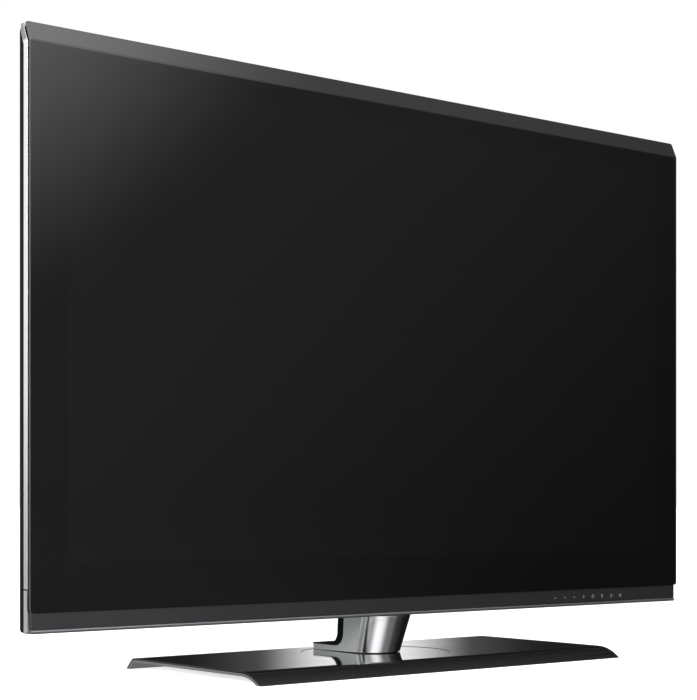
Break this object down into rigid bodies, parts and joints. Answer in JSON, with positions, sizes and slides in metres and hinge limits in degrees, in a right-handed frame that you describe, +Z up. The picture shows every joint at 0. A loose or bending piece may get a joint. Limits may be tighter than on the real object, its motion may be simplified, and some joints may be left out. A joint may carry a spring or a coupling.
{
  "type": "flat screen television",
  "caption": "Flat television with a full-face glossy front sheet bent back along its top edge, on a flaring neck that swivels on a low arched pedestal base.",
  "frame": {"origin": "on the floor, below the centre of the whole set's outline", "axes": "+X to the viewer's right, +Y away from the viewer, +Z up; the screen faces -Y"},
  "size_m": [1.021, 0.271, 0.7034],
  "materials": {
    "gloss_black": "high gloss piano black",
    "silver_trim": "satin silver",
    "silver_paint": "satin silver paint",
    "chrome_plate": "bright plating",
    "grey_metal": "satin, fine brushed",
    "black_plastic": "fine moulded texture",
    "socket_plastic": "moulded",
    "bearing_plastic": "smooth acetal",
    "rubber": "matt",
    "foam_tape": "closed cell foam",
    "cell_glass": "dark liquid crystal cell",
    "clear_acrylic": "clear acrylic",
    "optical_film": "translucent film",
    "white_film": "white reflector film",
    "circuit_board": "green solder mask",
    "cone_paper": "pressed paper",
    "ferrite": "sintered",
    "brass_parts": "turned",
    "bright_steel": "tin plated",
    "cast_alloy": "die cast",
    "steel": "zinc plated"
  },
  "bodies": {
    "base": {"base_cover": "gloss_black", "base_shell": "silver_paint", "base_steel_plate": "steel", "base_screws": "steel", "rubber_feet": "rubber", "swivel_bush": "bearing_plastic", "slip_ring": "bearing_plastic"},
    "display": {"aerial_socket": "bright_steel", "board_screws": "steel", "board_standoffs": "brass_parts", "bottom_lip": "silver_trim", "diffuser_sheet": "optical_film", "front_sheet": "gloss_black", "lcd_cell": "cell_glass", "led_strips": "circuit_board", "light_guide": "clear_acrylic", "lock_nut": "steel", "lower_bar": "gloss_black", "lower_jack_plate": "black_plastic", "lower_trim_left": "silver_trim", "lower_trim_right": "silver_trim", "main_board": "circuit_board", "mains_inlet": "socket_plastic", "media_sockets": "bright_steel", "middle_frame": "black_plastic", "module_back_pan": "steel", "module_front_case": "steel", "neck_core": "cast_alloy", "neck_foot_screws": "steel", "neck_front_cover": "chrome_plate", "neck_panel_screws": "steel", "neck_rear_cover": "black_plastic", "neck_side_left": "grey_metal", "neck_side_right": "grey_metal", "network_socket": "socket_plastic", "picture_sockets": "bright_steel", "pivot_bolt": "steel", "power_board": "circuit_board", "prism_sheet": "optical_film", "rear_cover": "black_plastic", "rear_cover_screws": "steel", "reflector_sheet": "white_film", "sheet_gasket": "foam_tape", "side_jack_plate": "black_plastic", "side_trim_left": "silver_trim", "side_trim_right": "silver_trim", "speaker_boxes": "black_plastic", "speaker_magnets": "ferrite", "speaker_surrounds": "rubber", "spring_washer": "steel", "stand_bracket": "steel", "swivel_plate": "steel", "swivel_stop_pin": "steel", "timing_board": "circuit_board", "touch_key_board": "circuit_board", "turntable_disc": "gloss_black", "wall_mount_posts": "brass_parts", "wall_mount_rails": "steel"},
    "speaker_cone_left": {"speaker_cone_left": "cone_paper"},
    "speaker_cone_right": {"speaker_cone_right": "cone_paper"}
  },
  "joints": [
    {"name": "stand_swivel", "type": "hinge", "parent": "base", "child": "display", "pos_m": [0, 0.011, 0.0098], "axis": [0, 0, 1], "range_deg": [-20, 20]},
    {"name": "speaker_left_travel", "type": "slide", "parent": "display", "child": "speaker_cone_left", "axis": [0, 0, 1], "range_m": [-0.001, 0.001], "stiffness_N_per_m": 500},
    {"name": "speaker_right_travel", "type": "slide", "parent": "display", "child": "speaker_cone_right", "axis": [0, 0, 1], "range_m": [-0.001, 0.001], "stiffness_N_per_m": 500}
  ]
}
